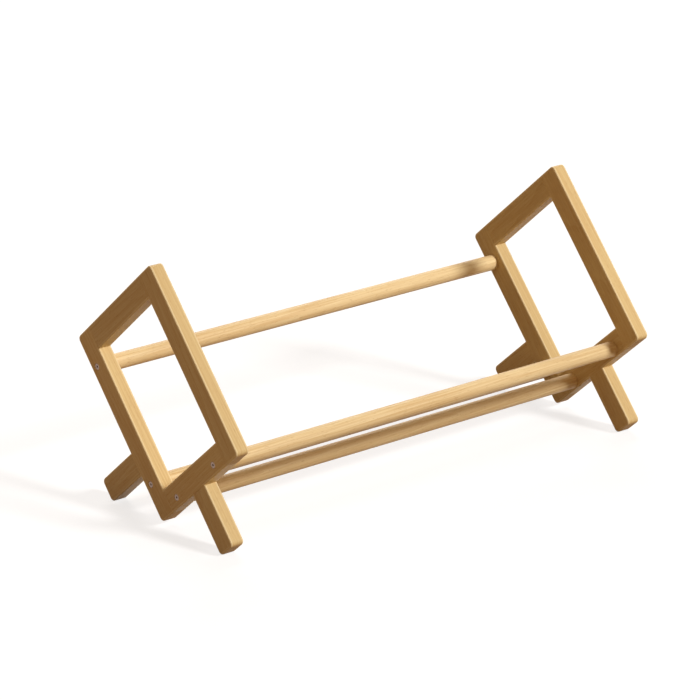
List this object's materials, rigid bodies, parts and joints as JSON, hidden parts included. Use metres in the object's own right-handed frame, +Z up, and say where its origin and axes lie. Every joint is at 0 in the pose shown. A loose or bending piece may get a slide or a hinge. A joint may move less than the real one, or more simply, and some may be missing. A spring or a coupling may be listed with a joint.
{
  "type": "desktop bookshelf",
  "caption": "Wooden desktop book rack: tilted rectangular end frames on splayed legs, joined by round rods that form a sloping seat and back for books and files.",
  "frame": {"origin": "on the table top, below the middle of the rack's bounding box", "axes": "+X along the rods to the right end, +Y to the back, +Z up"},
  "size_m": [0.78, 0.3702, 0.3831],
  "materials": {
    "frame_wood": "satin clear lacquer on planed light hardwood",
    "rod_wood": "satin clear lacquer on turned light hardwood",
    "dowel_wood": "bare turned hardwood",
    "bolt_steel": "nickel-plated steel",
    "insert_brass": "plain turned brass"
  },
  "bodies": {
    "root": {"left_front_stile": "frame_wood", "left_rear_stile": "frame_wood", "left_top_rail": "frame_wood", "left_bottom_rail": "frame_wood", "left_front_leg": "frame_wood", "left_rear_leg": "frame_wood", "left_front_leg_dowels": "dowel_wood", "left_rear_leg_dowels": "dowel_wood", "left_front_seat_bolt": "bolt_steel", "left_rear_seat_bolt": "bolt_steel", "left_lower_back_bolt": "bolt_steel", "left_upper_back_bolt": "bolt_steel", "left_front_seat_insert": "insert_brass", "left_rear_seat_insert": "insert_brass", "left_lower_back_insert": "insert_brass", "left_upper_back_insert": "insert_brass", "right_front_stile": "frame_wood", "right_rear_stile": "frame_wood", "right_top_rail": "frame_wood", "right_bottom_rail": "frame_wood", "right_front_leg": "frame_wood", "right_rear_leg": "frame_wood", "right_front_leg_dowels": "dowel_wood", "right_rear_leg_dowels": "dowel_wood", "right_front_seat_bolt": "bolt_steel", "right_rear_seat_bolt": "bolt_steel", "right_lower_back_bolt": "bolt_steel", "right_upper_back_bolt": "bolt_steel", "right_front_seat_insert": "insert_brass", "right_rear_seat_insert": "insert_brass", "right_lower_back_insert": "insert_brass", "right_upper_back_insert": "insert_brass", "front_seat_rod": "rod_wood", "rear_seat_rod": "rod_wood", "lower_back_rod": "rod_wood", "upper_back_rod": "rod_wood"}
  },
  "joints": []
}
